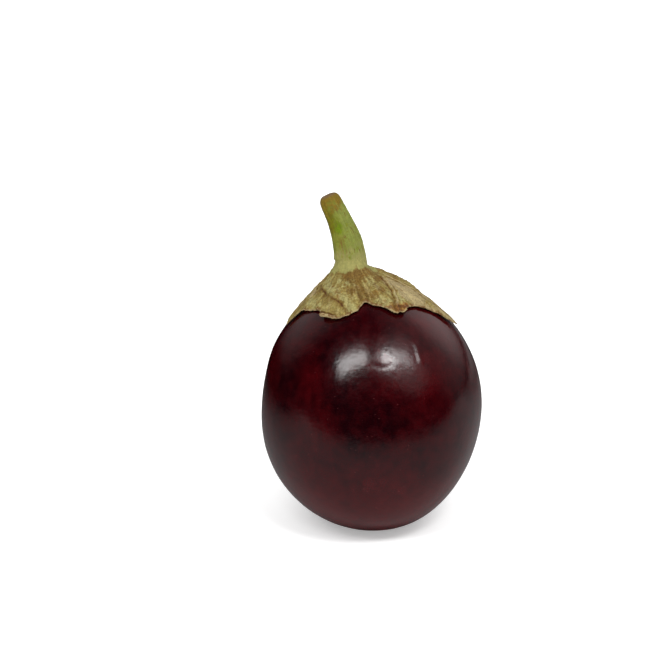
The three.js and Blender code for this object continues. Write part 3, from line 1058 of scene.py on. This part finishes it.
def soft_box(name, way, across, deep, turned, radiance):
    """A square lamp that the fruit sees in the given direction, with its angles across and deep."""
    light = bpy.data.lights.new(name, "AREA")
    light.shape = "RECTANGLE"
    light.size = 2 * BOX_DISTANCE * math.tan(math.radians(across / 2))
    light.size_y = 2 * BOX_DISTANCE * math.tan(math.radians(deep / 2))
    light.energy = radiance * math.pi * light.size * light.size_y
    lamp = placed(name, light)
    way = Vector(way).normalized()
    lamp.location = Vector(-REST_POINT) * MM + way * BOX_DISTANCE
    facing = way.to_track_quat("Z", "Y") @ Quaternion((0, 0, 1), math.radians(turned))
    lamp.rotation_euler = facing.to_euler()


def fill_light(name, way, strength, spread):
    """Even light that leaves no reflection in the skin."""
    light = bpy.data.lights.new(name, "SUN")
    light.energy = strength
    light.angle = math.radians(spread)
    lamp = placed(name, light)
    lamp.rotation_euler = Vector(way).to_track_quat("Z", "Y").to_euler()
    lamp.visible_glossy = False


FLOOR_RADIUS = 9
FLOOR_SIDES = 96
# The parts of the floor that the skin mirrors, as soft ovals: middle, length, depth, turn and tone
MIRRORED_OVALS = [((0, -0.066, 0), 5, 0.174, 18, 0.345), ((0.4, 0.6, 0), 0.3, 0.3, 0, 0.26)]
MIRRORED_FULL = 0.05
MIRRORED_END = 2.05
# The floor's own glow, a painted light that lightens the shadow round the fruit
FLOOR_GLOW = 0.35


def mirrored_floor(finish):
    """The floor's tone as the skin mirrors it: soft dim ovals, as of a narrow table."""
    tone = 0.0
    for middle, long, deep, turn, brightness in MIRRORED_OVALS:
        oval = finish.add("Mapping")
        oval.vector_type = "TEXTURE"
        oval.inputs["Location"].default_value = middle
        oval.inputs["Rotation"].default_value = (0, 0, math.radians(turn))
        oval.inputs["Scale"].default_value = (long, deep, 1)
        finish.feed(oval.inputs["Vector"], finish.places)
        away = finish.vector_math("LENGTH", oval.outputs["Vector"])
        part = finish.step(away, MIRRORED_FULL, MIRRORED_END, brightness, 0.0)
        tone = finish.math("MAXIMUM", part, tone)
    return tone


def floor():
    """A plain pale floor, which the skin mirrors in a dimmer tone, and which glows a little of itself:
    painted light that lightens its shadow.
    """
    turns = np.arange(FLOOR_SIDES) / FLOOR_SIDES * 2 * math.pi
    circle = [(FLOOR_RADIUS * math.cos(turn), FLOOR_RADIUS * math.sin(turn), 0) for turn in turns]
    mesh = bpy.data.meshes.new("floor")
    mesh.from_pydata(circle, [], [tuple(range(FLOOR_SIDES))])
    piece = placed("floor", mesh)
    finish = Finish("floor")
    tone = finish.swing(finish.noise(300, detail=2), 0.91, 0.93)
    in_skin = finish.add("LightPath").outputs["Is Glossy Ray"]
    colour = finish.mix(in_skin, tone, mirrored_floor(finish))
    finish.feed(finish.shader.inputs["Base Color"], colour)
    finish.feed(finish.shader.inputs["Emission Color"], (1.0, 1.0, 1.0))
    # Painted light: the floor glows for every ray but the skin's mirroring, lightening the fruit's shadow
    # on it and adding to the light thrown up onto the fruit
    glow = finish.math("MULTIPLY", finish.math("SUBTRACT", 1.0, in_skin), FLOOR_GLOW)
    finish.feed(finish.shader.inputs["Emission Strength"], glow)
    finish.shader.inputs["Roughness"].default_value = 1
    finish.shader.inputs["Specular IOR Level"].default_value = 0
    mesh.materials.append(finish.material)


# Pale walls round the fruit, as it mirrors them: direction, half angles of the full part and of the fading
# one, and radiance
WALLS = [
    ((-0.456, 0.619, 0.64), 0, 46, 0.51),
    ((0.512, 0.691, 0.51), 2, 33, 0.64),
    ((0.673, 0.422, 0.608), 0, 53, 0.29),
    ((0.53, -0.421, 0.736), 0, 30, 0.75),
]
WORLD_DARK = 0.001
WORLD_SEEN = 0.95


def studio_world():
    """Pale where the camera sees it, and else dark with soft pale walls."""
    world = bpy.data.worlds.new("studio")
    bpy.context.scene.world = world
    world.use_nodes = True
    nodes = Nodes(world.node_tree)
    way = nodes.add("TexCoord").outputs["Generated"]
    total = WORLD_DARK
    for wall, full, fading, radiance in WALLS:
        toward = nodes.vector_math("DOT_PRODUCT", way, Vector(wall).normalized())
        edge = math.cos(math.radians(fading))
        glow = nodes.step(toward, edge, math.cos(math.radians(full)), 0.0, radiance)
        total = nodes.math("ADD", glow, total)
    seen = nodes.add("LightPath").outputs["Is Camera Ray"]
    tone = nodes.mix(seen, total, (WORLD_SEEN, WORLD_SEEN, WORLD_SEEN))
    nodes.feed(nodes.tree.nodes["Background"].inputs["Color"], tone)


aim_camera()
fruit = fruit_piece()
fruit.data.materials.append(skin_material())
cap = cap_piece()
cap.data.materials.append(cap_material())
for box in SOFT_BOXES:
    soft_box(*box)
for light in FILL_LIGHTS:
    fill_light(*light)
floor()
studio_world()
bpy.context.scene.view_settings.view_transform = "Standard"

for piece, node, slot in ((fruit, "fruit", "fruit_skin"), (cap, "calyx_and_stem", "green_cap")):
    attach(piece, "root")
    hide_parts(node)
